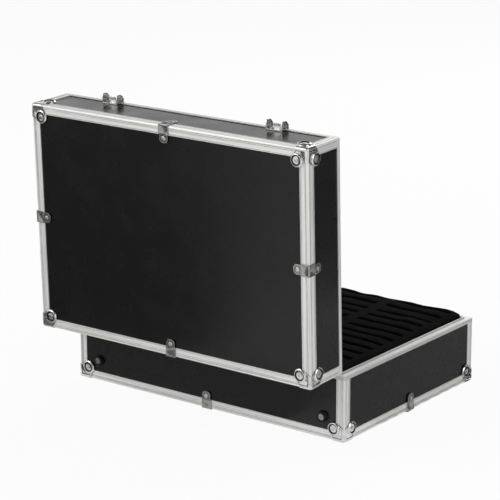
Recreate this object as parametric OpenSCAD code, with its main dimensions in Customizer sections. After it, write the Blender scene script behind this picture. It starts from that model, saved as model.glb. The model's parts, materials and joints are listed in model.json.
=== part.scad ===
// Aluminium-framed card case: a slotted foam base, a hinged lid that stands open on its
// hinge stops, two draw latches and a folding handle. The origin is the middle of the
// underside, on the plane that the corner guards stand on. The front is at -Y.

/* [Case] */
// Outside width of the aluminium frame
case_w = 440; // [420:1:500]
// Outside depth of the aluminium frame
case_d = 305; // [290:1:360]
// Height of the base frame, underside to rim
base_h = 88; // [84:1:110]
// Height of the lid frame, top to rim
lid_h = 67; // [56:1:90]
// How far the lid stands open from its shut place, in degrees
lid_open = 91.75; // [85:0.25:100]
// Gap between the two rims when the case is shut
seam = 0.3; // [0.2:0.1:0.8]

/* [Aluminium profile] */
// Width of each leg of the angle profile
flange = 12.4; // [10:0.2:14]
// Thickness of the profile
skin = 1.2; // [0.8:0.1:1.8]
// Radius of the profile's outer corner
edge_r = 2.4; // [1.5:0.1:3]
// Width of each pressed ridge and groove
ridge_w = 0.9; // [0.6:0.1:1.2]
// Depth of the pressed grooves
groove_d = 0.35; // [0.2:0.05:0.5]
// Height of the rim profile
rim_h = 5.3; // [4.6:0.1:7]
// Thickness of the rim over the panel edges
rim_t = 1.5; // [1:0.1:2]
// Width of the sealing tongue on the base rim
tongue_w = 1.6; // [1.2:0.1:2.2]
// Height of the sealing tongue
tongue_h = 2; // [1.5:0.1:2.5]
// Free space round the tongue in its groove
tongue_gap = 0.6; // [0.4:0.1:0.8]

/* [Panels and foam] */
// Thickness of the outer panels
panel_t = 5; // [4:0.5:6]
// Thickness of the lining strips
lining_t = 5; // [4:0.5:6]
// Thickness of the sheet under the cards
floor_foam_t = 3; // [2:0.5:6]
// Thickness of the pad in the lid
lid_pad_t = 6; // [4:0.5:8]
// How far the slotted foam stands above the base rim
foam_proud = 7.5; // [4:0.5:10]
// Gap round the slotted foam
foam_gap = 0.4; // [0.2:0.1:1]
// Length of a card slot
slot_l = 87; // [84:1:96]
// Width of a card slot
slot_w = 8; // [6:0.5:10]
// Foam between two slots of a row
slot_divider = 16; // [12:1:24]
// Distance from one row of slots to the next
slot_pitch = 23.5; // [18:0.5:30]
// Joint between two pieces of foam
foam_joint = 0.1; // [0.05:0.05:0.3]
// Least foam outside the last slots
slot_margin = 6; // [4:1:12]

/* [Corner guards and clips] */
// Thickness of the guard plate
guard_t = 0.9; // [0.7:0.1:1.4]
// Height of the raised ring on each lobe
ring_t = 1.3; // [0.9:0.1:1.6]
// Diameter of a lobe
lobe_d = 18; // [15:0.5:20]
// Inner diameter of the raised ring
ring_in_d = 12; // [9:0.5:13]
// Distance of a lobe's centre from each edge
lobe_in = 16; // [15:0.5:18]
// Reach of the guard along each edge
guard_reach = 16; // [13:0.5:20]
// Thickness of the edge clips
clip_t = 0.9; // [0.6:0.1:1.2]
// Width of a clip where it bends over the edge
clip_w = 17.6; // [15:0.4:22]
// Width of the clip's rivet tab
clip_tab_w = 12.8; // [9:0.2:13.6]
// Distance of the clip's rivet from the edge
clip_in = 16.8; // [16:0.2:19]
// Radius of a rivet's shank
rivet_r = 1.6; // [1.2:0.1:2]
// Radius of a rivet's head
rivet_head_r = 2.8; // [2.4:0.1:3.2]
// Height of a rivet's head
rivet_head_t = 0.7; // [0.5:0.1:0.8]
// Clearance round a rivet's shank
rivet_gap = 0.1; // [0.05:0.05:0.3]

/* [Rear feet] */
// Diameter of a rubber foot at its face
foot_d = 13.5; // [12:0.5:15]
// Diameter of a rubber foot where it is fixed
foot_base_d = 15.5; // [14:0.5:19]
// Height of a rubber foot above the panel
foot_h = 4.6; // [4.2:0.1:8]
// Distance of a foot's centre from the side of the case
foot_in_x = 34; // [30:0.5:50]
// Distance of a foot's centre from the outer face of the base or lid
foot_in_z = 28.5; // [26:0.5:34]
// Radius of the foot screw's shank
screw_r = 2; // [1.5:0.1:2.5]
// Radius of the foot screw's head
screw_head_r = 4; // [3:0.1:4.6]
// Height of the foot screw's head
screw_head_t = 1.8; // [1.2:0.1:2.2]
// Depth of the foot's recess for the screw head
screw_sink = 2.4; // [2:0.1:3]
// Clearance round the screw
screw_gap = 0.15; // [0.05:0.05:0.3]

/* [Hinges] */
// Distance of the hinge axis behind the rear face
hinge_out = 5.2; // [5:0.1:6]
// Radius of a hinge knuckle
knuckle_r = 2.2; // [2:0.1:2.4]
// Radius of the hinge pin
hinge_pin_r = 1.1; // [0.9:0.1:1.3]
// Running clearance round a moving pin
run_gap = 0.06; // [0.04:0.01:0.1]
// Thickness of a hinge leaf
leaf_t = 1.5; // [1.2:0.1:1.8]
// Height of a hinge leaf
leaf_h = 17; // [15:0.5:22]
// Length of a hinge leaf
leaf_l = 62; // [56:1:90]
// Length of the middle knuckle
knuckle_mid = 18; // [14:1:22]
// Length of each outer knuckle
knuckle_end = 12; // [9:1:13]
// Length of each stop cam
cam_l = 8; // [5:0.5:8]
// Gap between moving parts along an axis
side_gap = 0.3; // [0.2:0.05:0.5]
// Distance of a hinge's middle from the side of the case
hinge_in = 95; // [85:1:130]

/* [Latches] */
// Distance of a latch's middle from the side of the case
latch_in = 88; // [70:1:110]
// Width of a latch plate and of a catch
latch_w = 25; // [24.6:0.2:32]
// Height of the latch plate
latch_plate_h = 34; // [32:0.5:38]
// Thickness of latch plates and catches above the panel
latch_t = 1.8; // [1.4:0.1:2.1]
// Distance of the plate's top below the base rim
latch_drop = 8; // [6.5:0.5:12]
// Distance of the lever pivot from the frame's outer face
pivot_out = 8; // [7.6:0.1:9]
// Distance of the lever pivot below the base rim
pivot_drop = 22; // [20:0.5:24]
// How far the bail pin lies inside the lever pivot
bail_pin_in = 3; // [2:0.1:3.2]
// How far the bail pin lies below the lever pivot
bail_pin_drop = 6; // [6:0.1:7]
// Radius of the lever pivot pin
pivot_pin_r = 1.4; // [1.1:0.1:1.6]
// Radius of the bail pin
bail_pin_r = 1.2; // [1:0.1:1.4]
// Thickness of the latch ears and cheeks
ear_t = 1.2; // [1:0.1:1.4]
// Metal round the pivot pin in an ear
ear_wall = 1; // [0.8:0.1:1.2]
// Gap between an ear and the side wire of the bail
bail_side = 0.7; // [0.5:0.05:0.9]
// Width of the lever
lever_w = 12.4; // [11:0.2:12.8]
// Length of the lever below its pivot
lever_l = 28; // [24:0.5:32]
// Radius of the lever's rolled tip
lever_tip_r = 2; // [1.6:0.1:2.4]
// Radius of the bail wire
wire_r = 1.1; // [0.9:0.05:1.2]
// Height of the bail's bar above the lid rim when latched
bar_rise = 9.7; // [9.2:0.1:10.6]
// Width of the catch's hook
hook_w = 10.4; // [8:0.4:12]
// Height of the catch plate
catch_h = 14.6; // [14:0.2:20]
// Height of the catch's ears above the frame
catch_ear = 11.5; // [9.5:0.5:12.5]
// Gap between the latched bail and its hook
bail_gap = 0.3; // [0.2:0.05:0.5]

/* [Handle] */
// Distance from the middle of the case to a handle bracket
bracket_x = 66; // [58:1:74]
// Height of the handle pivot below the base rim
handle_drop = 30; // [27:1:34]
// Distance of the handle pivot from the frame's outer face
handle_out = 11.5; // [11:0.5:14]
// Distance from the pivot to the middle of the grip
handle_reach = 36; // [32:1:38]
// Radius of the grip
grip_r = 9; // [7.5:0.5:9.5]
// Radius of the handle's arms at the pivot
arm_r = 6.5; // [5.5:0.5:7]
// Width of the handle's arms
arm_w = 9; // [7:0.5:12]
// Radius of the handle pins
handle_pin_r = 3; // [2:0.1:3.4]
// Width of a bracket eye
eye_w = 6; // [5:0.5:8]
// Radius of a bracket eye
eye_r = 5.5; // [5:0.1:6]
// Width of a bracket plate
bracket_w = 18; // [16:0.5:24]
// Height of a bracket plate
bracket_h = 36; // [32:1:42]
// Thickness of a bracket plate above the panel
bracket_t = 2; // [1.5:0.1:2.4]

/* [Hidden] */
// Overrun of every cut
cut = 1;
// Sides of a round
round_fn = 48;
// Clearance of a pin that is fixed in its hole
fixed_gap = 0.02;

foot_drop = guard_t + ring_t;
shut_h = base_h + seam + lid_h;
hinge_z = base_h + seam / 2;
inner_w = case_w - 2 * flange;
inner_d = case_d - 2 * flange;
panel_in = skin + panel_t;
lobe_r = lobe_d / 2;
metal = "silver";
black = "#222326";
chrome = "gainsboro";

// The four walls are drawn as the front one: X along the wall, +Y into the case.
FRONT = "front";
RIGHT = "right";
REAR = "rear";
LEFT = "left";
function is_long(side) = side == FRONT || side == REAR;
function quarter_turns(side) = side == FRONT ? 0 : side == RIGHT ? 1 : side == REAR ? 2 : 3;
function wall_l(side) = is_long(side) ? case_w : case_d;
module wall(side) rotate([0, 0, 90 * quarter_turns(side)])
    translate([0, -wall_l(is_long(side) ? RIGHT : FRONT) / 2, 0]) children();
module base() translate([0, 0, foot_drop]) children();
module lid() {
    base() translate([0, case_d / 2 + hinge_out, hinge_z]) rotate([-lid_open, 0, 0])
        translate([0, -case_d / 2 - hinge_out, -hinge_z])
        translate([0, 0, shut_h]) mirror([0, 0, 1]) children();
}
function shift(by, list) = [for (v = list) by + v];
module box(x, y, z) translate([x[0], y[0], z[0]])
    cube([x[1] - x[0], y[1] - y[0], z[1] - z[0]]);
module x_rod(r, from, to) translate([from, 0, 0]) rotate([0, 90, 0])
    cylinder(r = r, h = to - from, $fn = round_fn);

// Places of the rivets in a wall: along the wall, and up from the outer face.
function guard_points(side) = [for (s = [-1, 1]) [s * (wall_l(side) / 2 - lobe_in), lobe_in]];
clip_point = [0, clip_in];
foot_points = [for (s = [-1, 1]) [s * (case_w / 2 - foot_in_x), foot_in_z]];
hinge_mid = case_w / 2 - hinge_in;
leaf_low = base_h - leaf_h;
leaf_pitch = leaf_l / 2 - 2 * rivet_head_r;
function leaf_points(h) = [for (s = [-1, 1], t = [-1, 0, 1])
    [s * hinge_mid + t * leaf_pitch, h - rim_h - (leaf_h - rim_h) / 2]];
latch_mid = case_w / 2 - latch_in;
rivet_inset = rivet_head_r + rivet_gap;
latch_low = base_h - latch_drop - latch_plate_h;
latch_points = [for (s = [-1, 1], t = [-1, 1], u = [0, 1])
    [s * latch_mid + t * (latch_w / 2 - rivet_inset),
     latch_low + rivet_inset + u * (latch_plate_h - 2 * rivet_inset)]];
handle_z = base_h - handle_drop;
bracket_points = [for (s = [-1, 1], u = [-1, 1])
    [s * bracket_x, handle_z + u * (bracket_h / 2 - rivet_inset)]];
catch_points = [for (s = [-1, 1], t = [-1, 1])
    [s * latch_mid + t * (latch_w / 2 - ear_t - rivet_inset), lid_h - catch_h + rivet_inset]];

module rivet(seat) rotate([-90, 0, 0]) {
    translate([0, 0, -seat]) cylinder(r = rivet_r, h = panel_in + seat, $fn = round_fn);
    translate([0, 0, -seat - rivet_head_t / 2])
        cylinder(r = rivet_head_r, h = rivet_head_t / 2, $fn = round_fn);
    translate([0, 0, -seat - rivet_head_t])
        cylinder(r1 = rivet_r, r2 = rivet_head_r, h = rivet_head_t / 2, $fn = round_fn);
}
module rivet_hole(r = rivet_r + rivet_gap) rotate([-90, 0, 0])
    translate([0, 0, -leaf_t - cut]) cylinder(r = r, h = leaf_t + panel_in + 2 * cut, $fn = round_fn);
module at(points) for (p = points) translate([p[0], 0, p[1]]) children();

// Outer panels
module wall_panel(side, h, points, screws = []) {
    wide = wall_l(side) / 2 - (is_long(side) ? skin : panel_in);
    color(black) wall(side) difference() {
        box([-wide, wide], [skin, panel_in], [skin, h - rim_t]);
        at(concat(points, guard_points(side), [clip_point])) rivet_hole();
        at(screws) rivet_hole(screw_r + screw_gap);
    }
}
module flat_panel() {
    x = case_w / 2 - panel_in;
    y = case_d / 2 - panel_in;
    color(black) difference() {
        box([-x, x], [-y, y], [skin, panel_in]);
        face_rivet_places() rotate([90, 0, 0]) rivet_hole();
    }
}
// The middle of each lobe and clip on the outer face
module face_rivet_places() {
    for (sx = [-1, 1], sy = [-1, 1])
        translate([sx * (case_w / 2 - lobe_in), sy * (case_d / 2 - lobe_in), 0]) children();
    for (side = [FRONT, RIGHT, REAR, LEFT]) wall(side) translate([0, clip_in, 0]) children();
}

// Angle profile: a leg's outline from the outer corner to its end
function leg(swap) = [for (p = [[edge_r, 0], [edge_r + ridge_w, 0], [edge_r + ridge_w, groove_d],
    [edge_r + 2 * ridge_w, groove_d], [edge_r + 2 * ridge_w, 0], [edge_r + 3 * ridge_w, 0],
    [edge_r + 3 * ridge_w, groove_d], [flange - ridge_w, groove_d], [flange - ridge_w, 0],
    [flange, 0], [flange, skin]]) swap ? [p[1], p[0]] : p];
function backwards(list) = [for (i = [len(list) - 1:-1:0]) list[i]];
arc_steps = 5;
corner_arc = [for (i = [1:arc_steps - 1]) let (a = 90 * i / arc_steps)
    [edge_r * (1 - sin(a)), edge_r * (1 - cos(a))]];
module angle_profile(l) linear_extrude(l)
    polygon(concat(leg(false), [[skin, skin]], backwards(leg(true)), backwards(corner_arc)));

module edge_profile(side) {
    half = wall_l(side) / 2;
    color(metal) wall(side) intersection() {
        translate([-half, 0, 0]) rotate([90, 0, 90]) angle_profile(2 * half);
        linear_extrude(flange) polygon([[-half, 0], [half, 0], [half - flange, flange],
            [-half + flange, flange]]);
    }
}
module corner_places() for (mx = [0, 1], my = [0, 1])
    mirror([mx, 0, 0]) mirror([0, my, 0]) translate([-case_w / 2, -case_d / 2, 0]) children();
module corner_posts(h) color(metal) corner_places() translate([0, 0, flange])
    angle_profile(h - flange - rim_h);

// Rim profile, with its pocket for the panel edges
module plan(inset, z, r = 0) {
    x = case_w / 2 - inset;
    y = case_d / 2 - inset;
    if (r == 0) box([-x, x], [-y, y], z);
    else {
        box([-x + r, x - r], [-y, y], z);
        box([-x, x], [-y + r, y - r], z);
        for (sx = [-1, 1], sy = [-1, 1]) translate([sx * (x - r), sy * (y - r), z[0]])
            cylinder(r = r, h = z[1] - z[0], $fn = round_fn);
    }
}
module ring(outer, inner, z, r = 0) difference() {
    plan(outer, z, r);
    plan(inner, [z[0] - cut, z[1] + cut]);
}
tongue_in = (panel_in + flange - tongue_w) / 2;
module rim(h) difference() {
    ring(0, flange, [h - rim_h, h], edge_r);
    ring(skin, panel_in, [h - rim_h - cut, h - rim_t]);
}
module base_rim() color(metal) base() {
    rim(base_h);
    ring(tongue_in, tongue_in + tongue_w, [base_h, base_h + tongue_h]);
}
module lid_rim() color(metal) lid() difference() {
    rim(lid_h);
    ring(tongue_in - tongue_gap, tongue_in + tongue_w + tongue_gap,
        [lid_h - tongue_h - tongue_gap, lid_h + cut]);
}

// Corner guard: three lobed plates that meet over the corner
module guard_plate() {
    s = lobe_r * sin(45);
    difference() {
        union() {
            translate([0, 0, -guard_t]) linear_extrude(guard_t) polygon([[-guard_t, -guard_t],
                [guard_reach, -guard_t], [lobe_in + s, lobe_in - s], [lobe_in - s, lobe_in + s],
                [-guard_t, guard_reach]]);
            translate([lobe_in, lobe_in, -guard_t]) cylinder(r = lobe_r, h = guard_t, $fn = round_fn);
            translate([lobe_in, lobe_in, -foot_drop]) difference() {
                cylinder(r = lobe_r, h = ring_t + guard_t / 2, $fn = round_fn);
                translate([0, 0, -cut]) cylinder(d = ring_in_d, h = ring_t + cut, $fn = round_fn);
            }
        }
        translate([lobe_in, lobe_in, -guard_t - cut])
            cylinder(r = rivet_r + rivet_gap, h = guard_t + 2 * cut, $fn = round_fn);
    }
}
module corner_guards() color(chrome) corner_places() {
    guard_plate();
    rotate([90, 0, 90]) guard_plate();
    rotate([0, -90, -90]) guard_plate();
}

// Edge clip: a strip bent over the profile, with a rivet tab on each leg
module clip_leg() difference() {
    translate([0, 0, -clip_t]) union() {
        linear_extrude(clip_t) polygon([[-clip_w / 2, -clip_t], [clip_w / 2, -clip_t],
            [clip_w / 2, flange - clip_t], [clip_tab_w / 2, clip_in],
            [-clip_tab_w / 2, clip_in], [-clip_w / 2, flange - clip_t]]);
        translate([0, clip_in, 0]) cylinder(d = clip_tab_w, h = clip_t, $fn = round_fn);
    }
    translate([0, clip_in, -clip_t - cut])
        cylinder(r = rivet_r + rivet_gap, h = clip_t + 2 * cut, $fn = round_fn);
}
module edge_clips() color(chrome) for (side = [FRONT, RIGHT, REAR, LEFT]) wall(side) {
    clip_leg();
    mirror([0, 1, -1]) clip_leg();
}

// Rivets of one half of the case; the rest are given by their wall and seat
module frame_rivets() {
    for (side = [FRONT, RIGHT, REAR, LEFT]) wall(side) {
        at(guard_points(side)) rivet(guard_t);
        at([clip_point]) rivet(clip_t);
    }
    for (sx = [-1, 1], sy = [-1, 1])
        translate([sx * (case_w / 2 - lobe_in), sy * (case_d / 2 - lobe_in), 0])
        rotate([90, 0, 0]) rivet(guard_t);
    for (side = [FRONT, RIGHT, REAR, LEFT]) wall(side) translate([0, clip_in, 0])
        rotate([90, 0, 0]) rivet(clip_t);
}

// Lining strips, slotted foam and pads
module lining(h) color(black) for (side = [FRONT, RIGHT, REAR, LEFT]) {
    wide = wall_l(side) / 2 - panel_in - (is_long(side) ? 0 : lining_t + foam_joint);
    wall(side) box([-wide, wide], [panel_in, panel_in + lining_t], [panel_in, h - rim_h]);
}
foam_w = inner_w - 2 * foam_gap;
foam_d = inner_d - 2 * foam_gap;
slot_cols = floor((foam_w - 2 * slot_margin + slot_divider) / (slot_l + slot_divider));
slot_rows = floor((foam_d - 2 * slot_margin - slot_w + slot_pitch) / slot_pitch);
slot_x0 = -(slot_cols * (slot_l + slot_divider) - slot_divider) / 2;
slot_y0 = -(slot_rows - 1) * slot_pitch / 2;
foam_z = [panel_in + floor_foam_t, base_h + foam_proud];
// Strips across the case, with spacer blocks glued between them at the ends of the slots
module card_foam() color(black) base() {
    for (row = [0:slot_rows]) {
        y0 = row == 0 ? -foam_d / 2 : slot_y0 + (row - 1) * slot_pitch + slot_w / 2;
        y1 = row == slot_rows ? foam_d / 2 : slot_y0 + row * slot_pitch - slot_w / 2;
        box([-foam_w / 2, foam_w / 2], [y0, y1], foam_z);
    }
    for (row = [0:slot_rows - 1], col = [0:slot_cols]) {
        x0 = col == 0 ? -foam_w / 2 : slot_x0 + col * (slot_l + slot_divider) - slot_divider;
        x1 = col == slot_cols ? foam_w / 2 : slot_x0 + col * (slot_l + slot_divider);
        y = slot_y0 + row * slot_pitch;
        box([x0, x1], [y - slot_w / 2 + foam_joint, y + slot_w / 2 - foam_joint], foam_z);
    }
}
lined_w = case_w - 2 * (panel_in + lining_t);
lined_d = case_d - 2 * (panel_in + lining_t);
module floor_foam() color(black) base()
    box([-lined_w / 2, lined_w / 2], [-lined_d / 2, lined_d / 2], [panel_in, foam_z[0]]);
module lid_pad() color(black) lid()
    box([-lined_w / 2, lined_w / 2], [-lined_d / 2, lined_d / 2], [panel_in, panel_in + lid_pad_t]);

// Rubber feet on the rear wall, and their screws
module feet() color("#18191b") wall(REAR) at(foot_points) rotate([90, 0, 0])
    translate([0, 0, -skin]) difference() {
        cylinder(d1 = foot_base_d, d2 = foot_d, h = foot_h, $fn = round_fn);
        translate([0, 0, -cut]) cylinder(r = screw_r + screw_gap, h = foot_h + 2 * cut, $fn = round_fn);
        translate([0, 0, foot_h - screw_sink])
            cylinder(r = screw_head_r + screw_gap, h = screw_sink + cut, $fn = round_fn);
    }
module foot_screws() color(metal) wall(REAR) at(foot_points) rotate([90, 0, 0]) {
    translate([0, 0, -panel_in]) cylinder(r = screw_r, h = panel_t + foot_h - screw_sink, $fn = round_fn);
    translate([0, 0, foot_h - screw_sink - skin]) difference() {
        cylinder(r = screw_head_r, h = screw_head_t, $fn = round_fn);
        for (a = [0, 90]) rotate([0, 0, a]) translate([0, 0, screw_head_t])
            cube([screw_head_r, screw_head_t / 2, screw_head_t], center = true);
    }
}

// Stop hinge: each leaf carries its knuckles on a short arm behind the rim
knuckle_pitch = knuckle_mid / 2 + side_gap + knuckle_end / 2;
module knuckle(x, l) {
    translate([x, -hinge_out, 0]) x_rod(knuckle_r, -l / 2, l / 2);
    box([x - l / 2, x + l / 2], [-hinge_out, 0], [-knuckle_r, -seam]);
}
module leaf(h) difference() {
    union() {
        box([-leaf_l / 2, leaf_l / 2], [-leaf_t, 0], [h - leaf_h, h - seam]);
        box([-leaf_l / 2, leaf_l / 2], [0, skin], [h - leaf_h, h - rim_h]);
        translate([0, 0, h + seam / 2]) children();
    }
    translate([0, -hinge_out, h + seam / 2])
        x_rod(hinge_pin_r + run_gap, -leaf_l / 2 - cut, leaf_l / 2 + cut);
}
module base_leaf(s) color(metal) base() wall(REAR) difference() {
    translate([-s * hinge_mid, 0, 0]) leaf(base_h) for (t = [-1, 1]) {
        knuckle(t * knuckle_pitch, knuckle_end);
        cam_x = t * (knuckle_pitch + knuckle_end / 2 - cam_l / 2);
        box([cam_x - cam_l / 2, cam_x + cam_l / 2], [-hinge_out - knuckle_r, -hinge_out],
            [0, hinge_out - leaf_t - side_gap]);
    }
    at(leaf_points(base_h)) rivet_hole();
}
module lid_leaf(s) color(metal) lid() wall(REAR) difference() {
    translate([-s * hinge_mid, 0, 0]) leaf(lid_h) knuckle(0, knuckle_mid);
    at(leaf_points(lid_h)) rivet_hole();
}
module hinge_pins() color(metal) base() wall(REAR) for (s = [-1, 1])
    translate([s * hinge_mid, -hinge_out, hinge_z])
    x_rod(hinge_pin_r, -knuckle_pitch - knuckle_end / 2, knuckle_pitch + knuckle_end / 2);

// Draw latch on the front wall, drawn round the lever pivot
module latch_pivot(s) base() wall(FRONT) translate([s * latch_mid, -pivot_out, base_h - pivot_drop])
    children();
ear_in = lever_w / 2 + side_gap;
ear_out = ear_in + ear_t;
ear_r = pivot_pin_r + ear_wall;
bail_x = ear_out + bail_side + wire_r;
plate_y = [pivot_out + skin - latch_t, pivot_out + skin];
module latch_plate(s) color(chrome) difference() {
    latch_pivot(s) difference() {
        union() {
            box([-latch_w / 2, latch_w / 2], plate_y,
                shift(latch_low + pivot_drop - base_h, [0, latch_plate_h]));
            for (t = [-1, 1]) mirror([t < 0 ? 1 : 0, 0, 0]) {
                x_rod(ear_r, ear_in, ear_out);
                box([ear_in, ear_out], [0, plate_y[1]], [-ear_r, ear_r]);
            }
        }
        x_rod(pivot_pin_r + fixed_gap, -latch_w, latch_w);
    }
    base() wall(FRONT) at(latch_points) rivet_hole();
}
module latch_pivot_pins() color(metal) for (s = [-1, 1]) latch_pivot(s)
    x_rod(pivot_pin_r, -ear_out - side_gap, ear_out + side_gap);
// The lever is a channel: two cheeks and a back, with a rolled tip
lever_back = pivot_pin_r + fixed_gap + side_gap;
module latch_lever(s) color(chrome) latch_pivot(s) difference() {
    union() {
        box([-lever_w / 2, lever_w / 2], [-lever_back - ear_t, -lever_back], [-lever_l, ear_r]);
        for (t = [-1, 1]) mirror([t < 0 ? 1 : 0, 0, 0])
            box([lever_w / 2 - ear_t, lever_w / 2],
                [-lever_back - ear_t, bail_pin_in + bail_pin_r + ear_t / 2],
                [-bail_pin_drop - bail_pin_r - ear_t, ear_r]);
        translate([0, -lever_back - ear_t, -lever_l]) x_rod(lever_tip_r, -lever_w / 2, lever_w / 2);
    }
    x_rod(pivot_pin_r + run_gap, -lever_w, lever_w);
    translate([0, bail_pin_in, -bail_pin_drop]) x_rod(bail_pin_r + fixed_gap, -lever_w, lever_w);
}
module bail_pivot(s) latch_pivot(s) translate([0, bail_pin_in, -bail_pin_drop]) children();
eye_half = wire_r;
module bail_pin(s) color(metal) bail_pivot(s)
    x_rod(bail_pin_r, -bail_x - eye_half - side_gap, bail_x + eye_half + side_gap);
// Reach of the bail, from its pin to the bar that lies over the catch
bail_l = pivot_drop + bail_pin_drop + seam + bar_rise;
bail_eye_r = bail_pin_r + wire_r;
module latch_bail(s) color(chrome) bail_pivot(s) difference() {
    union() {
        for (t = [-1, 1]) {
            translate([t * bail_x, 0, 0]) {
                x_rod(bail_eye_r, -eye_half, eye_half);
                translate([0, 0, -bail_l]) cylinder(r = wire_r, h = bail_l, $fn = round_fn);
                translate([0, 0, -bail_l]) sphere(r = wire_r, $fn = round_fn);
            }
        }
        translate([0, 0, -bail_l]) x_rod(wire_r, -bail_x, bail_x);
    }
    x_rod(bail_pin_r + run_gap, -latch_w, latch_w);
}
// Catch on the lid's front wall: a plate, a hook for the bail's bar and two ears
bar_out = pivot_out - bail_pin_in;
hook_t = ear_t;
lip_out = bar_out + wire_r + bail_gap;
module latch_catch(s) {
    rise = lid_h - bar_rise;
    color(chrome) lid() wall(FRONT) difference() {
        translate([s * latch_mid, 0, 0]) {
            box([-latch_w / 2, latch_w / 2], [-latch_t + skin, skin], [lid_h - catch_h, lid_h - rim_h]);
            box([-latch_w / 2, latch_w / 2], [-latch_t + skin, 0], [lid_h - rim_h - cut, lid_h - seam]);
            for (t = [-1, 1]) mirror([t < 0 ? 1 : 0, 0, 0]) translate([latch_w / 2 - ear_t, 0, 0])
                rotate([90, 0, 90]) linear_extrude(ear_t) polygon([[skin, lid_h - rim_h],
                    [0, lid_h - rim_h], [0, lid_h - seam], [-catch_ear / 2, lid_h - seam],
                    [-catch_ear, lid_h - rim_h], [-catch_ear, lid_h - catch_h + ear_t],
                    [-catch_ear / 2, lid_h - catch_h], [skin, lid_h - catch_h]]);
            box([-hook_w / 2, hook_w / 2], [-lip_out - hook_t, 0],
                shift(rise, [wire_r + bail_gap, wire_r + bail_gap + hook_t]));
            box([-hook_w / 2, hook_w / 2], [-lip_out - hook_t, -lip_out],
                shift(rise, [-wire_r, wire_r + bail_gap + hook_t]));
        }
        at(catch_points) rivet_hole();
    }
}

// Folding handle: brackets with eyes, pins, and a grip that hangs at rest
module handle_pivot() base() wall(FRONT) translate([0, -handle_out, handle_z]) children();
arm_out = bracket_x - eye_w / 2 - side_gap;
module handle_bracket(s) color(chrome) difference() {
    handle_pivot() difference() {
        translate([s * bracket_x, 0, 0]) {
            box([-bracket_w / 2, bracket_w / 2], shift(handle_out + skin, [-bracket_t, 0]),
                [-bracket_h / 2, bracket_h / 2]);
            x_rod(eye_r, -eye_w / 2, eye_w / 2);
            box([-eye_w / 2, eye_w / 2], [0, handle_out + skin], [-eye_r, eye_r]);
        }
        x_rod(handle_pin_r + run_gap, -case_w / 2, case_w / 2);
    }
    base() wall(FRONT) at(bracket_points) rivet_hole();
}
module handle_grip() color(black) handle_pivot() difference() {
    union() {
        translate([0, 0, -handle_reach]) x_rod(grip_r, -arm_out + arm_w / 2, arm_out - arm_w / 2);
        for (t = [-1, 1]) mirror([t < 0 ? 1 : 0, 0, 0]) {
            x_rod(arm_r, arm_out - arm_w, arm_out);
            translate([0, 0, -handle_reach]) x_rod(arm_r, arm_out - arm_w, arm_out);
            box([arm_out - arm_w, arm_out], [-arm_r, arm_r], [-handle_reach, 0]);
        }
    }
    x_rod(handle_pin_r + fixed_gap, -case_w / 2, case_w / 2);
}
module handle_pins() color(metal) handle_pivot() for (t = [-1, 1]) mirror([t < 0 ? 1 : 0, 0, 0])
    x_rod(handle_pin_r, arm_out - arm_w, bracket_x + eye_w / 2);

module base_rivets() color(chrome) base() {
    frame_rivets();
    wall(REAR) at(leaf_points(base_h)) rivet(leaf_t);
    wall(FRONT) at(latch_points) rivet(latch_t - skin);
    wall(FRONT) at(bracket_points) rivet(bracket_t - skin);
}
module lid_rivets() color(chrome) lid() {
    frame_rivets();
    wall(REAR) at(leaf_points(lid_h)) rivet(leaf_t);
    wall(FRONT) at(catch_points) rivet(latch_t - skin);
}

module base_floor_panel() base() flat_panel();
module base_front_panel() base() wall_panel(FRONT, base_h, concat(latch_points, bracket_points));
module base_rear_panel() base() wall_panel(REAR, base_h, leaf_points(base_h), foot_points);
module base_left_panel() base() wall_panel(LEFT, base_h, []);
module base_right_panel() base() wall_panel(RIGHT, base_h, []);
module lid_top_panel() lid() flat_panel();
module lid_front_panel() lid() wall_panel(FRONT, lid_h, catch_points);
module lid_rear_panel() lid() wall_panel(REAR, lid_h, leaf_points(lid_h), foot_points);
module lid_left_panel() lid() wall_panel(LEFT, lid_h, []);
module lid_right_panel() lid() wall_panel(RIGHT, lid_h, []);

base_floor_panel();
base_front_panel();
base_rear_panel();
base_left_panel();
base_right_panel();
base() edge_profile(FRONT);  // base_front_edge
base() edge_profile(REAR);  // base_rear_edge
base() edge_profile(LEFT);  // base_left_edge
base() edge_profile(RIGHT);  // base_right_edge
base() corner_posts(base_h);  // base_corner_posts
base_rim();
base() corner_guards();  // base_corner_guards
base() edge_clips();  // base_edge_clips
base_rivets();
base() lining(base_h);  // base_lining
base() feet();  // base_feet
base() foot_screws();  // base_foot_screws
card_foam();
floor_foam();
latch_plate(-1);  // latch_plate_left
latch_plate(1);  // latch_plate_right
latch_pivot_pins();
handle_bracket(-1);  // handle_bracket_left
handle_bracket(1);  // handle_bracket_right
base_leaf(-1);  // hinge_base_leaf_left
base_leaf(1);  // hinge_base_leaf_right
hinge_pins();
handle_grip();
handle_pins();
latch_lever(-1);  // latch_lever_left
latch_lever(1);  // latch_lever_right
bail_pin(-1);  // bail_pin_left
bail_pin(1);  // bail_pin_right
latch_bail(-1);  // latch_bail_left
latch_bail(1);  // latch_bail_right
lid_top_panel();
lid_front_panel();
lid_rear_panel();
lid_left_panel();
lid_right_panel();
lid() edge_profile(FRONT);  // lid_front_edge
lid() edge_profile(REAR);  // lid_rear_edge
lid() edge_profile(LEFT);  // lid_left_edge
lid() edge_profile(RIGHT);  // lid_right_edge
lid() corner_posts(lid_h);  // lid_corner_posts
lid_rim();
lid() corner_guards();  // lid_corner_guards
lid() edge_clips();  // lid_edge_clips
lid_rivets();
lid() lining(lid_h);  // lid_lining
lid_pad();
lid() feet();  // lid_feet
lid() foot_screws();  // lid_foot_screws
latch_catch(-1);  // latch_catch_left
latch_catch(1);  // latch_catch_right
lid_leaf(-1);  // hinge_lid_leaf_left
lid_leaf(1);  // hinge_lid_leaf_right
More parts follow.
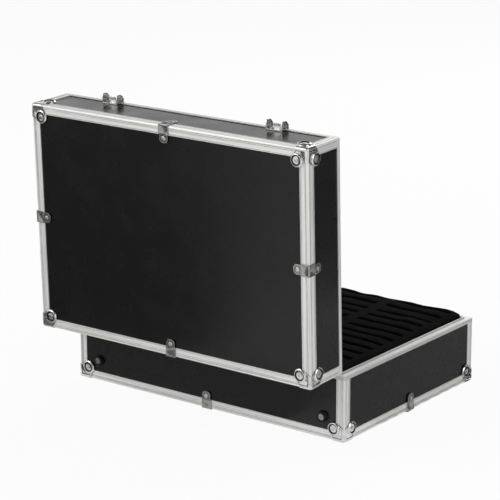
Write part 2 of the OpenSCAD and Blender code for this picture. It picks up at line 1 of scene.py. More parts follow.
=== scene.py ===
# %% [markdown]
# # A card case dressed around its CAD frame
#
# The CAD model gives every hard piece its place: black panels in an aluminium frame, chrome
# corner guards, latches, hinges and a folding handle. This lesson adds what CAD leaves out:
# finishes made from nodes, rounded metal edges, pressed and moulded shapes, and soft foam in
# place of plain blocks.

import json
import math

import bmesh
import bpy
from mathutils import Matrix, Vector


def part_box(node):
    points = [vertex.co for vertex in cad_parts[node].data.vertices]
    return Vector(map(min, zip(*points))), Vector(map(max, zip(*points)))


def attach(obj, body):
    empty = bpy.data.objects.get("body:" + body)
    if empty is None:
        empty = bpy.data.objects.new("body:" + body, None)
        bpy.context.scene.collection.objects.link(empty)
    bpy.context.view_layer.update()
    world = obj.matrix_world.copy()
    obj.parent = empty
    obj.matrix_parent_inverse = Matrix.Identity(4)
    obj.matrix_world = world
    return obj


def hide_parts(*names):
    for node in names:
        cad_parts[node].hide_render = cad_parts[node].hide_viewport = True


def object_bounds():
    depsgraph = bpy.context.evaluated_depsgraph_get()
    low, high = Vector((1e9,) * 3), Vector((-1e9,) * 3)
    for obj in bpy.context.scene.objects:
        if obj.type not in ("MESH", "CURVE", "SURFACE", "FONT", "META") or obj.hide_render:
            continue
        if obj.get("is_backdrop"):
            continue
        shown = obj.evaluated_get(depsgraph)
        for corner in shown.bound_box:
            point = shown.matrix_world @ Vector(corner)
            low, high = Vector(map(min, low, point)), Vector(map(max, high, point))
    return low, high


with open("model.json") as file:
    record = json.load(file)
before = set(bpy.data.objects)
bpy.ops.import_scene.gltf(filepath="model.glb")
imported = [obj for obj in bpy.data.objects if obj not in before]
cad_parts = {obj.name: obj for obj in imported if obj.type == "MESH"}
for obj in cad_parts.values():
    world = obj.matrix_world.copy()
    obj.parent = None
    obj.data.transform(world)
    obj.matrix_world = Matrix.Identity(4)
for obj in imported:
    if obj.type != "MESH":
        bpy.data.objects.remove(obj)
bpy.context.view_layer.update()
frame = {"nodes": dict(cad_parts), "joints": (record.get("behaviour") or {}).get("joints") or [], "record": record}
nodes = frame["nodes"]
MM = 0.001

# %% [markdown]
# ## The camera
#
# The photograph looks at the back of the open case from a long way off, so the lens is long.
# The place, the turn and the small roll were fitted to the edges of the frame. A camera looks
# along its own -Z axis, so its rotation is built from three axes: right, up and back.

# %% Camera at the photograph's viewing angle
AZIMUTH, ELEVATION, ROLL = math.radians(217.0665), math.radians(15.8391), math.radians(-0.2176)
LOOK_AT, DISTANCE = Vector((0.10969, -0.0887, 0.1448)), 3.14384
FOCAL_PX, FRAME_PX, SENSOR_MM = 2227.01, 500, 36
back = Vector((math.sin(AZIMUTH) * math.cos(ELEVATION), -math.cos(AZIMUTH) * math.cos(ELEVATION),
               math.sin(ELEVATION)))
level = Vector((0, 0, 1)).cross(back).normalized()
upright = back.cross(level)
right = level * math.cos(ROLL) + upright * math.sin(ROLL)
up = upright * math.cos(ROLL) - level * math.sin(ROLL)
lens = bpy.data.cameras.new("photo_camera")
lens.sensor_width = SENSOR_MM
lens.lens = FOCAL_PX / FRAME_PX * SENSOR_MM
camera = bpy.data.objects.new("photo_camera", lens)
place = LOOK_AT + back * DISTANCE
camera.matrix_world = Matrix(((right.x, up.x, back.x, place.x), (right.y, up.y, back.y, place.y),
                              (right.z, up.z, back.z, place.z), (0, 0, 0, 1)))
scene = bpy.context.scene
scene.collection.objects.link(camera)
scene.camera = camera
print("camera", [round(v, 3) for v in place], "lens", round(lens.lens, 1))

# %% [markdown]
# ## Light and floor
#
# A product picture on white needs soft light from large lamps and a pale floor. The world and
# the floor look white to the camera and in reflections, through the Light Path node, while the
# light that they throw on the case stays moderate, so that colours keep their written values.

# %% World
SKY_LIGHT = 0.45
scene.view_settings.view_transform = "Standard"
world = bpy.data.worlds.new("studio")
scene.world = world
world.use_nodes = True


def seen_directly(tree):
    """1 for camera, glossy and transmission rays, 0 for light on diffuse surfaces."""
    path = tree.nodes.new("ShaderNodeLightPath")
    last = path.outputs["Is Camera Ray"]
    for ray in ("Is Glossy Ray", "Is Transmission Ray"):
        larger = tree.nodes.new("ShaderNodeMath")
        larger.operation = "MAXIMUM"
        tree.links.new(last, larger.inputs[0])
        tree.links.new(path.outputs[ray], larger.inputs[1])
        last = larger.outputs[0]
    return last


sky = world.node_tree
strength = sky.nodes.new("ShaderNodeMapRange")
strength.inputs["To Min"].default_value = SKY_LIGHT
strength.inputs["To Max"].default_value = 1
sky.links.new(seen_directly(sky), strength.inputs["Value"])
sky.nodes["Background"].inputs["Color"].default_value = (1, 1, 1, 1)
sky.links.new(strength.outputs["Result"], sky.nodes["Background"].inputs["Strength"])
print("world", world.name)

# %% Lamps
MIDDLE = Vector((0, 0.05, 0.2))


def softbox(name, place, size, watts):
    """A round lamp of this size in metres, turned to the middle of the case."""
    lamp = bpy.data.lights.new(name, "AREA")
    lamp.shape = "DISK"
    lamp.size = size
    lamp.energy = watts
    holder = bpy.data.objects.new(name, lamp)
    scene.collection.objects.link(holder)
    holder.location = place
    holder.rotation_euler = (MIDDLE - Vector(place)).to_track_quat("-Z", "Y").to_euler()


softbox("key_softbox", (1.3, 1.9, 1.9), 2.3, 32)
softbox("fill_softbox", (-2.2, 0.3, 1.1), 1.6, 12)
softbox("front_softbox", (0.4, -2.2, 1.6), 1.8, 21)

# %% Floor
FLOOR_SIZE, FLOOR_Z, PAPER, PAPER_GLOW = 24, -0.0002, 0.86, 0.93
bpy.ops.mesh.primitive_plane_add(size=FLOOR_SIZE, location=(0, 0, FLOOR_Z))
floor = bpy.context.object
floor.name = "studio_floor"
floor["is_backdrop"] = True
paper = bpy.data.materials.new("floor_paper")
paper.use_nodes = True
tree = paper.node_tree
shader = tree.nodes["Principled BSDF"]
shader.inputs["Base Color"].default_value = (PAPER, PAPER, PAPER, 1)
shader.inputs["Roughness"].default_value = 0.9
shader.inputs["Specular IOR Level"].default_value = 0
glow = tree.nodes.new("ShaderNodeEmission")
glow.inputs["Color"].default_value = (1, 1, 1, 1)
share = tree.nodes.new("ShaderNodeMath")
share.operation = "MULTIPLY"
share.inputs[1].default_value = PAPER_GLOW
mix = tree.nodes.new("ShaderNodeMixShader")
tree.links.new(seen_directly(tree), share.inputs[0])
tree.links.new(share.outputs[0], mix.inputs[0])
tree.links.new(shader.outputs[0], mix.inputs[1])
tree.links.new(glow.outputs[0], mix.inputs[2])
tree.links.new(mix.outputs[0], tree.nodes["Material Output"].inputs["Surface"])
floor.data.materials.append(paper)
print("floor", floor.name)

# %% [markdown]
# ## Dark flags for the reflections
#
# Chrome in an all-white room looks like paper. A photographer stands black cards, called
# flags, around the set, and their dark reflections draw the shape of the metal. These flags are
# slatted: curved chrome shows each slat as a line, while the duller panels blur the slats to a
# grey. Only reflections see them, so they take no light from the case. SQUARE is the turn that
# sets a card square to the line of view or to its mirror image.

# %% Slatted felt
FELT = 0.01


def slatted_felt(cover, rows):
    """Black felt in slats; cover is the share of the card that is felt."""
    made = bpy.data.materials.new("flag_felt")
    made.use_nodes = True
    tree = made.node_tree
    felt = tree.nodes["Principled BSDF"]
    felt.inputs["Base Color"].default_value = (FELT, FELT, FELT, 1)
    felt.inputs["Specular IOR Level"].default_value = 0
    place, split = (tree.nodes.new("ShaderNode" + kind) for kind in ("TexCoord", "SeparateXYZ"))
    tree.links.new(place.outputs["Object"], split.inputs[0])
    last = split.outputs["Y"]
    for operation, number in (("MULTIPLY", rows), ("FRACT", 0), ("LESS_THAN", cover)):
        step = tree.nodes.new("ShaderNodeMath")
        step.operation = operation
        step.inputs[1].default_value = number
        tree.links.new(last, step.inputs[0])
        last = step.outputs[0]
    clear, both = (tree.nodes.new("ShaderNode" + kind) for kind in ("BsdfTransparent", "MixShader"))
    tree.links.new(last, both.inputs[0])
    tree.links.new(clear.outputs[0], both.inputs[1])
    tree.links.new(felt.outputs[0], both.inputs[2])
    tree.links.new(both.outputs[0], tree.nodes["Material Output"].inputs["Surface"])
    return made


print("felt grey", FELT)

# %% Flags
SQUARE, ON_FLOOR = 36.9, 0.001


def flag(name, place, size, turn, cover, slat=0.12):
    """A card with its middle and size in metres, its turn in degrees and its slats' pitch."""
    bpy.ops.mesh.primitive_plane_add(size=1, location=place,
                                     rotation=[math.radians(angle) for angle in turn])
    card = bpy.context.object
    card.name = name
    card.scale = (size[0], size[1], 1)
    card.data.materials.append(slatted_felt(cover, round(size[1] / slat)))
    card.visible_camera = card.visible_diffuse = card.visible_shadow = False
    card.visible_transmission = False
    card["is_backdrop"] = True


flag("flag_above", (0, 0.2, 2.3), (6.4, 6.4), (0, 0, 0), 0.8)
flag("flag_by_camera", (-2.1, 2.8, 1.6), (3.4, 2.4), (90, 0, SQUARE), 0.7)
flag("flag_on_floor", (1.37, 0.91, ON_FLOOR), (1.5, 2.2), (0, 0, -SQUARE), 0.8)
flag("flag_on_far_floor", (-1.17, -1.38, ON_FLOOR), (2.2, 2.42), (0, 0, -SQUARE), 0.8)
flag("flag_beside", (-0.37, -0.09, ON_FLOOR), (0.8, 0.44), (0, 0, -SQUARE), 0.53, 0.02)
flag("flag_behind", (0.23, 0.3, ON_FLOOR), (0.68, 0.24), (0, 0, 0), 0.5, 0.02)
flag("flag_far_off", (-1.9, -2.6, 1.3), (5, 2.6), (90, 0, -SQUARE), 0.75, 0.3)

# %% [markdown]
# ## From the shut lid to the open lid
#
# Lid pieces are easier to model and to texture with the lid shut, where they lie square to the
# axes. One matrix turns them about the hinge to the open place, and its inverse turns back.
# The case is measured by its half width, its half depth, its height with the lid shut and the
# height of its underside.

# %% Turn about the hinge
hinge = next(j for j in frame["joints"] if j["name"] == "lid_hinge")
OPEN = math.radians(hinge["range_deg"][1])
pivot = Vector(hinge["pos_m"])
TO_OPEN = Matrix.Translation(pivot) @ Matrix.Rotation(-OPEN, 4, "X") @ Matrix.Translation(-pivot)
TO_SHUT = TO_OPEN.inverted()
CASE_X, CASE_Y, SHUT_H, GROUND = 220 * MM, 152.5 * MM, 155.3 * MM, 2.2 * MM
print("open angle", round(math.degrees(OPEN), 2))

# %% [markdown]
# ## Small helpers for materials
#
# Every finish starts from a Principled shader. Patterns read Object coordinates, which are
# metres in the shared frame here, because every piece has its place in its mesh. A finish for
# the lid turns them back to the shut lid first, so that its patterns lie square. NodeBench
# holds the plain steps, and Finish adds the patterns to them.

# %% Plain steps


class NodeBench:
    """A material and short ways to add its nodes."""

    def __init__(self, name, colour, roughness, metallic=0.0, on_lid=False, **sockets):
        self.on_lid = on_lid
        self.material = bpy.data.materials.new(name)
        self.material.use_nodes = True
        self.tree = self.material.node_tree
        self.shader = self.tree.nodes["Principled BSDF"]
        self.set("Base Color", (*colour, 1))
        self.set("Roughness", roughness)
        self.set("Metallic", metallic)
        for socket, value in sockets.items():
            self.set(socket.replace("_", " "), value)

    def set(self, socket, value):
        self.shader.inputs[socket].default_value = value

    def node(self, kind, **settings):
        made = self.tree.nodes.new("ShaderNode" + kind)
        for key, value in settings.items():
            if key in made.inputs:
                made.inputs[key].default_value = value
            else:
                setattr(made, key, value)
        return made

    def join(self, source, target):
        self.tree.links.new(source, target)

    def place(self, stretch=(1, 1, 1)):
        """Object coordinates, turned to the shut lid where needed, then stretched."""
        vector = self.node("TexCoord").outputs["Object"]
        if self.on_lid:
            turn = self.node("Mapping")
            turn.inputs["Rotation"].default_value = (OPEN, 0, 0)
            turn.inputs["Location"].default_value = TO_SHUT.translation
            self.join(vector, turn.inputs["Vector"])
            vector = turn.outputs["Vector"]
        mapping = self.node("Mapping")
        mapping.inputs["Scale"].default_value = stretch
        self.join(vector, mapping.inputs["Vector"])
        return mapping.outputs["Vector"]

    def math(self, operation, *values):
        """One arithmetic step on sockets or numbers."""
        made = self.node("Math", operation=operation)
        for socket, value in zip(made.inputs, values):
            if isinstance(value, (int, float)):
                socket.default_value = value
            else:
                self.join(value, socket)
        return made.outputs[0]


print("plain steps", [name for name in vars(NodeBench) if name[0] != "_"])

# %% Patterns and what they drive


class Finish(NodeBench):
    """Patterns, and ways to drive the shader by them."""

    def case_faces(self):
        """How far a point lies outside the faces across x, y and z (0 on the face)."""
        split = self.node("SeparateXYZ")
        self.join(self.place(), split.inputs[0])
        x = self.math("SUBTRACT", self.math("ABSOLUTE", split.outputs["X"]), CASE_X)
        y = self.math("SUBTRACT", self.math("ABSOLUTE", split.outputs["Y"]), CASE_Y)
        if self.on_lid:
            return x, y, self.math("SUBTRACT", split.outputs["Z"], GROUND + SHUT_H)
        return x, y, self.math("SUBTRACT", GROUND, split.outputs["Z"])

    def noise(self, size, stretch=(1, 1, 1), detail=3.0):
        """Noise whose features are about size millimetres wide."""
        made = self.node("TexNoise", Scale=1 / (size * MM), Detail=detail)
        self.join(self.place(stretch), made.inputs["Vector"])
        return made.outputs["Fac"]

    def cells(self, size, feature="F1"):
        """Rounded cells about size millimetres wide."""
        made = self.node("TexVoronoi", feature=feature, Scale=1 / (size * MM))
        self.join(self.place(), made.inputs["Vector"])
        return made.outputs["Distance"]

    def spread(self, value, low, high, start=0.3, end=0.7):
        """Maps a pattern's usual range to low..high."""
        made = self.node("MapRange")
        for socket, number in (("From Min", start), ("From Max", end), ("To Min", low),
                               ("To Max", high)):
            made.inputs[socket].default_value = number
        self.join(value, made.inputs["Value"])
        return made.outputs["Result"]

    def roughen(self, value):
        self.join(value, self.shader.inputs["Roughness"])

    def tint(self, value, low, high):
        """Base colour between two colours by a pattern."""
        made = self.node("Mix", data_type="RGBA")
        made.inputs[6].default_value = (*low, 1)
        made.inputs[7].default_value = (*high, 1)
        self.join(value, made.inputs[0])
        self.join(made.outputs[2], self.shader.inputs["Base Color"])

    def blend(self, value, low, high):
        """One of two patterns, or a mix of them."""
        made = self.node("Mix")
        for socket, source in zip(made.inputs[:1] + made.inputs[2:4], (value, low, high)):
            self.join(source, socket)
        return made.outputs[0]

    def paint_over(self, value, colour):
        """Lays a colour over the base colour where the pattern is 1."""
        made = self.node("Mix", data_type="RGBA")
        made.inputs[7].default_value = (*colour, 1)
        self.join(self.shader.inputs["Base Color"].links[0].from_socket, made.inputs[6])
        self.join(value, made.inputs[0])
        self.join(made.outputs[2], self.shader.inputs["Base Color"])

    def bump(self, value, depth, strength=1.0):
        """Height pattern of depth millimetres; bumps add up when called again."""
        made = self.node("Bump", Strength=strength, Distance=depth * MM)
        self.join(value, made.inputs["Height"])
        before = self.shader.inputs["Normal"].links
        if before:
            self.join(before[0].from_socket, made.inputs["Normal"])
        self.join(made.outputs["Normal"], self.shader.inputs["Normal"])


print("patterns", [name for name in vars(Finish) if name[0] != "_"])

# %% [markdown]
# ## Aluminium
#
# The profiles are extruded, so their fine lines run along each length. Noise that is stretched
# along one axis gives these lines. The rims go round the case, so their lines change direction
# at the mitre: a comparison picks the pattern of the nearer side. Painted shade darkens the
# pressed grooves, where the ridges throw shadow; they lie at a fixed distance from the nearest
# edge of the case. Of a point's three distances from the faces, the middle one is its distance
# from that edge. RIM_SHADE paints shade into the rims' colour, the base's rim most, so that they
# are darker than the profiles.

# %% Aluminium finishes
# GROOVE_SHADE is the colour of the painted shade that is laid in the pressed grooves.
SILVER_LOW, SILVER_HIGH, GROOVE_SHADE = (0.72, 0.72, 0.7), (0.9, 0.9, 0.875), (0.27, 0.27, 0.26)
GROOVES = ((3.75 * MM, 0.42 * MM), (5.4 * MM, 0.3 * MM), (11.3 * MM, 0.25 * MM))
# RIM_SHADE paints shade into the rims' colour, the base's rim most.
RIM_SHADE = {False: 0.7, True: 0.88}
LINE_MM, STREAK_MM, SHADE_PATCH_MM, CLOUD_MM, DRAWN_OUT = 0.5, 2.4, 9, 28, 0.012


def aluminium(along, on_lid):
    """Extruded metal; along is x, y, z, or rim for both ways round."""
    name = "aluminium_" + along + ("_lid" if on_lid else "_base")
    finish = Finish(name, SILVER_HIGH, 0.48, 0.42, on_lid)
    faces = finish.case_faces()
    patterns = []
    for axis in ("x", "y") if along == "rim" else (along,):
        stretch = tuple(DRAWN_OUT if axis == k else 1 for k in "xyz")
        patterns.append([finish.noise(size, stretch, 2) for size in (LINE_MM, STREAK_MM)])
    lines, streaks = patterns[0]
    if along == "rim":
        at_side = finish.math("GREATER_THAN", faces[0], faces[1])
        lines, streaks = (finish.blend(at_side, a, b) for a, b in zip(*patterns))
    # The rims' colour is darkened here as painted shade.
    shade = RIM_SHADE[on_lid] if along == "rim" else 1
    finish.tint(finish.spread(streaks, 0, 1, 0.36, 0.6), [c * shade for c in SILVER_LOW],
                [c * shade for c in SILVER_HIGH])
    if along != "rim":
        a, b, c = faces
        edge = finish.math("MAXIMUM", finish.math("MINIMUM", a, b),
                           finish.math("MINIMUM", finish.math("MAXIMUM", a, b), c))
        # Painted shade: the pressed grooves are darkened in the colour, in patches.
        groove_shade = 0.0
        for middle, half in GROOVES:
            groove_shade = finish.math("ADD", finish.math("COMPARE", edge, -middle, half), groove_shade)
        shade_patches = finish.spread(finish.noise(SHADE_PATCH_MM), 0.55, 1)
        finish.paint_over(finish.math("MULTIPLY", groove_shade, shade_patches), GROOVE_SHADE)
    finish.roughen(finish.math("ADD", finish.spread(lines, -0.04, 0.04),
                               finish.spread(finish.noise(CLOUD_MM), 0.42, 0.55)))
    finish.bump(lines, 0.02, 0.35)
    return finish.material


ALUMINIUM = {(along, on_lid): aluminium(along, on_lid)
             for along in ("x", "y", "z", "rim") for on_lid in (False, True)}
print("aluminium", len(ALUMINIUM))

# %% [markdown]
# ## Black panels, chrome, steel and plastic
#
# The panels are board faced with grained black laminate. Cells of a millimetre with fine noise
# on top give the grain, and a faint gloss lets the room show at low angles. The lid's front
# panel mirrors nothing in a narrow strip by the rim's step, so that strip is left matt.

# %% Black panels
PANEL_LOW, PANEL_HIGH = (0.0022, 0.0022, 0.0024), (0.0044, 0.0044, 0.0046)
STRIP_START = 57.6 * MM


def grained_panel(name, by_rim=False):
    """Grained laminate; by_rim adds the strip, STRIP_START away from the lid's outer face."""
    finish = Finish(name, (0.003, 0.003, 0.0032), 0.28, 0, by_rim, IOR=1.38)
    pebbles = finish.cells(1.1, "SMOOTH_F1")
    fine = finish.noise(0.35, detail=4)
    rough = finish.spread(finish.noise(45, detail=4), 0.22, 0.31)
    finish.tint(finish.spread(fine, 0, 1), PANEL_LOW, PANEL_HIGH)
    if by_rim:
        depth = finish.math("ABSOLUTE", finish.case_faces()[2])
        rough = finish.math("MAXIMUM", rough, finish.math("GREATER_THAN", depth, STRIP_START))
    finish.roughen(rough)
    finish.bump(pebbles, 0.10, 0.35)
    finish.bump(fine, 0.04, 0.3)
    return finish.material


black_panel = grained_panel("grained_black_panel")
black_panel_by_rim = grained_panel("grained_black_panel_by_rim", True)
print("panels", black_panel.name, black_panel_by_rim.name)

# %% Chrome and steel


def pressed_chrome():
    """Bright plating with faint smudges and the slow waves of pressed sheet."""
    finish = Finish("pressed_chrome", (0.66, 0.66, 0.65), 0.1, 1.0)
    smudges = finish.noise(6, detail=4)
    finish.roughen(finish.spread(smudges, 0.05, 0.15))
    finish.tint(finish.spread(smudges, 0, 1), (0.52, 0.52, 0.51), (0.72, 0.72, 0.71))
    finish.bump(finish.noise(2.2, detail=1), 0.03, 0.25)
    return finish.material


def satin_steel(name, low, high, roughness):
    """Steel with fine scratches along x and cloudy patches."""
    finish = Finish(name, high, roughness, 1.0)
    scratches = finish.noise(0.4, (0.05, 1, 1), 3)
    clouds = finish.noise(5, detail=4)
    finish.roughen(finish.spread(scratches, roughness - 0.06, roughness + 0.1))
    finish.tint(finish.spread(clouds, 0, 1), low, high)
    finish.bump(scratches, 0.015, 0.3)
    return finish.material


chrome = pressed_chrome()
# Very dark steel that paints shade and dark reflections on the pressed pieces.
shade_steel = satin_steel("recess_steel", (0.012, 0.012, 0.012), (0.035, 0.035, 0.034), 0.4)
steel = satin_steel("satin_steel", (0.46, 0.46, 0.45), (0.6, 0.6, 0.59), 0.3)
dull_steel = satin_steel("dull_steel", (0.22, 0.22, 0.215), (0.36, 0.36, 0.35), 0.3)
clip_steel = satin_steel("clip_steel", (0.26, 0.255, 0.245), (0.42, 0.415, 0.4), 0.18)
print("metals", [m.name for m in (chrome, shade_steel, steel, dull_steel, clip_steel)])

# %% Plastic and rubber


def moulded_black(name, low, high, roughness, grain, **sockets):
    """Moulded plastic or rubber, with a grain of this size in millimetres and some wear."""
    finish = Finish(name, low, roughness, **sockets)
    wear = finish.noise(14, detail=4)
    finish.tint(finish.spread(wear, 0, 1), low, high)
    finish.roughen(finish.spread(wear, roughness - 0.06, roughness + 0.08))
    finish.bump(finish.noise(grain, detail=3), 0.05, 0.35)
    return finish.material


handle_plastic = moulded_black("handle_plastic", (0.012, 0.012, 0.013), (0.02, 0.02, 0.021),
                               0.42, 0.5)
foot_rubber = moulded_black("foot_rubber", (0.006, 0.006, 0.006), (0.011, 0.011, 0.011),
                            0.55, 0.3, IOR=1.3)
print("moulded", handle_plastic.name, foot_rubber.name)

# %% [markdown]
# ## Foam and lining
#
# Foam is a mass of small cells, so it is very matt and swallows light. Cells of about half a
# millimetre make its surface. They trap what would be a shine at a low angle, so the index of
# refraction is close to that of air.

# %% Soft finishes


def cellular_foam(name, low, high, cell):
    """Foam or felt whose cells are this many millimetres wide."""
    finish = Finish(name, low, 0.95, IOR=1.03, Sheen_Weight=0.02, Sheen_Roughness=0.6)
    patches = finish.noise(18, detail=4)
    finish.tint(finish.spread(patches, 0, 1), low, high)
    finish.bump(finish.cells(cell), 0.25, 0.6)
    finish.bump(patches, 0.6, 0.3)
    return finish.material


card_foam_finish = cellular_foam("card_foam", (0.0036, 0.0036, 0.0039), (0.0066, 0.0066, 0.007),
                                 0.6)
pad_foam_finish = cellular_foam("pad_foam", (0.011, 0.011, 0.012), (0.017, 0.017, 0.018), 0.9)
lining_finish = cellular_foam("lining_felt", (0.012, 0.012, 0.013), (0.019, 0.019, 0.02), 0.4)
print("soft", card_foam_finish.name, pad_foam_finish.name, lining_finish.name)

# %% [markdown]
# ## Finishes for the CAD nodes
#
# A CAD node keeps its mesh and gets a finish in its own material slots. The piece's name says
# which way its lines run with the lid shut.

# %% Assign the finishes
RUNS = {half + part: run for half in ("base_", "lid_") for part, run in (
    ("front_edge", "x"), ("rear_edge", "x"), ("left_edge", "y"), ("right_edge", "y"),
    ("corner_posts", "z"), ("rim", "rim"))}
SLOT_FINISH = {"black_panel": black_panel, "chrome": chrome, "steel": steel,
               "foot_rubber": foot_rubber, "handle_plastic": handle_plastic,
               "foam": card_foam_finish, "lining": lining_finish}
for entry in frame["record"]["subparts"]:
    name = entry["node"]
    finish = SLOT_FINISH.get(entry["material_slot"])
    if name in RUNS:
        finish = ALUMINIUM[RUNS[name], name.startswith("lid")]
    elif name == "lid_front_panel":
        finish = black_panel_by_rim
    elif name.endswith("foot_screws"):
        finish = dull_steel
    for slot in nodes[name].material_slots:
        slot.material = finish
print("finished CAD nodes", len(nodes))

# %% [markdown]
# ## Rounded metal edges
#
# Real sheet and extrusions have no knife edges, and a rounded edge catches light. The CAD mesh
# is loose triangles, so a Weld joins them, a planar Decimate clears the flat faces, and a Bevel
# rounds what is left. They stay live, because a CAD node's own mesh never changes.

# %% Weld and bevel on the hard pieces
WELD_GAP, FLAT_ANGLE, SHARP_ANGLE = 0.02 * MM, math.radians(0.5), math.radians(32)


def round_edges(name, width):
    """Rounds a CAD node's sharp edges by width millimetres."""
    piece = nodes[name]
    weld = piece.modifiers.new("weld", "WELD")
    weld.merge_threshold = WELD_GAP
    flat = piece.modifiers.new("flat", "DECIMATE")
    flat.decimate_type = "DISSOLVE"
    flat.angle_limit = FLAT_ANGLE
    bevel = piece.modifiers.new("round", "BEVEL")
    bevel.width = width * MM
    bevel.segments = 2
    bevel.limit_method = "ANGLE"
    bevel.angle_limit = SHARP_ANGLE


for side in ("left", "right"):
    for name, width in (("latch_plate_", 0.3), ("latch_lever_", 0.35), ("handle_bracket_", 0.35),
                        ("hinge_base_leaf_", 0.25), ("hinge_lid_leaf_", 0.25)):
        round_edges(name + side, width)
for name in ("base_rim", "lid_rim"):
    round_edges(name, 0.4)
print("rounded", sum("round" in piece.modifiers for piece in nodes.values()))

# %% [markdown]
# ## Modelling helpers
#
# New pieces start from a primitive and are shaped in edit mode. Each helper first clears the
# selection, because the loaded nodes are selected and an operator acts on all that is.

# %% Helpers that start, cut and select


def only(piece):
    bpy.ops.object.select_all(action="DESELECT")
    piece.select_set(True)
    bpy.context.view_layer.objects.active = piece


def done():
    bpy.ops.object.mode_set(mode="OBJECT")


def block(name, low, high):
    """A box between two corners, with its place in its mesh."""
    bpy.ops.object.select_all(action="DESELECT")
    low, high = Vector(low), Vector(high)
    bpy.ops.mesh.primitive_cube_add(size=1, location=(low + high) / 2)
    piece = bpy.context.object
    piece.name = piece.data.name = name
    piece.scale = high - low
    bpy.ops.object.transform_apply(location=True, rotation=True, scale=True)
    return piece


def cut_across(piece, axis, places):
    """Cuts new edges right through the piece at these places along an axis."""
    only(piece)
    bpy.ops.object.mode_set(mode="EDIT")
    for spot in places:
        bpy.ops.mesh.select_all(action="SELECT")
        point, normal = [0, 0, 0], [0, 0, 0]
        point[axis], normal[axis] = spot, 1
        bpy.ops.mesh.bisect(plane_co=point, plane_no=normal)
    done()


def pick(piece, kind, test):
    """Selects faces by middle and normal, or edges by their ends, and stays in edit mode."""
    only(piece)
    bpy.ops.object.mode_set(mode="EDIT")
    bpy.ops.mesh.select_mode(type=kind)
    bpy.ops.mesh.select_all(action="DESELECT")
    shape = bmesh.from_edit_mesh(piece.data)
    if kind == "FACE":
        found = [f for f in shape.faces if test(f.calc_center_median(), f.normal)]
    else:
        found = [e for e in shape.edges if test(e.verts[0].co, e.verts[1].co)]
    for part in found:
        part.select_set(True)
    shape.select_flush_mode()
    bmesh.update_edit_mesh(piece.data)
    return len(found)


print("helpers", [helper.__name__ for helper in (only, done, block, cut_across, pick)])

# %% Helpers that shape and finish


def push(piece, test, offset):
    """Extrudes the faces that pass the test by an offset."""
    pick(piece, "FACE", test)
    bpy.ops.mesh.extrude_region_move(TRANSFORM_OT_translate={"value": offset})
    done()


def press(piece, test, steps):
    """Insets the faces that pass the test; a step is inward and outward in millimetres."""
    found = pick(piece, "FACE", test)
    for inward, outward in steps:
        bpy.ops.mesh.inset(thickness=inward * MM, depth=outward * MM)
    done()
    return found


def round_off(piece, test, width, segments):
    """Bevels the edges that pass the test by width millimetres."""
    found = pick(piece, "EDGE", test)
    bpy.ops.mesh.bevel(offset=width * MM, segments=segments, profile=0.5)
    done()
    return found


def apply_modifier(piece, kind, **settings):
    only(piece)
    made = piece.modifiers.new(kind.lower(), kind)
    for key, value in settings.items():
        setattr(made, key, value)
    bpy.ops.object.modifier_apply(modifier=made.name)


def soften(piece, width, angle):
    """Bevels every edge that is sharper than an angle in degrees."""
    apply_modifier(piece, "BEVEL", width=width * MM, segments=2, limit_method="ANGLE",
                   angle_limit=math.radians(angle))


def finish_piece(piece, finishes, body, slot, replaced, angle=40):
    indices = [face.material_index for face in piece.data.polygons]
    piece.data.materials.clear()
    for finish in finishes:
        piece.data.materials.append(finish)
    piece.data.polygons.foreach_set("material_index", [min(i, len(finishes) - 1) for i in indices])
    only(piece)
    bpy.ops.object.shade_smooth_by_angle(angle=math.radians(angle))
    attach(piece, body)
    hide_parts(*replaced)


def report(label, piece):
    print(label, len(piece.data.polygons), "box", [round(v / MM, 1) for v in piece.dimensions])


print("helpers", [helper.__name__ for helper in (push, press, round_off, soften, finish_piece)])

# %% [markdown]
# ## Pressed corner guards
#
# Three plates and rings stand for a corner guard in the CAD. The real one is pressed from one
# sheet: a cap with rounded edges, and three lobes that are dished round their rivets. The cap
# starts as a cube whose near edges are bevelled, and six bisects trim its outline. Two planes
# for each axis do that: one across the waist between two lobes, one along a lobe's side.

# %% One guard cap
GUARD_T, LOBE_IN, LOBE_R, REACH = 0.9 * MM, 16 * MM, 9 * MM, 16 * MM
CAP_LONG, SHEET_LESS, NEAR = 28 * MM, 0.02 * MM, 1e-6
cap = block("guard_cap", (-GUARD_T,) * 3, (CAP_LONG,) * 3)


def near_edge(a, b):
    return sum(abs(a[k] + GUARD_T) < NEAR and abs(b[k] + GUARD_T) < NEAR for k in range(3)) > 1


round_off(cap, near_edge, 3.2, 5)
pick(cap, "FACE", lambda c, n: max(n) > 0.9)
bpy.ops.mesh.delete(type="FACE")
lobe_side = LOBE_R * math.sqrt(0.5)
slope = lobe_side / (LOBE_IN - lobe_side + GUARD_T)
for axis in range(3):
    side, waist = [-slope] * 3, [1] * 3
    side[axis], waist[axis] = 1, 0
    start, middle = [-GUARD_T] * 3, [LOBE_IN] * 3
    start[axis], middle[axis] = REACH, 0
    for point, normal in ((start, side), (middle, waist)):
        bpy.ops.mesh.select_all(action="SELECT")
        bpy.ops.mesh.bisect(plane_co=point, plane_no=normal, clear_outer=True)
done()
apply_modifier(cap, "SOLIDIFY", thickness=GUARD_T - SHEET_LESS, offset=-1)
flats = press(cap, lambda c, n: min(n) < -0.999 and min(c) < -GUARD_T + NEAR,
              ((1.5, 0), (0.8, -0.35)))
print("pressed flats", flats, "faces", len(cap.data.polygons))

# %% One dished lobe
bpy.ops.object.select_all(action="DESELECT")
bpy.ops.mesh.primitive_cylinder_add(vertices=48, radius=LOBE_R, depth=GUARD_T,
                                    location=(LOBE_IN, LOBE_IN, -GUARD_T / 2))
lobe = bpy.context.object
bpy.ops.object.transform_apply(location=True, rotation=True, scale=True)
press(lobe, lambda c, n: n.z < -0.9, ((0.35, 0.3), (0.75, 0.8), (0.45, 0.18), (0.5, 0),
                                      (0.45, -0.18), (0.85, -0.85), (0.7, -0.12)))
report("lobe faces", lobe)

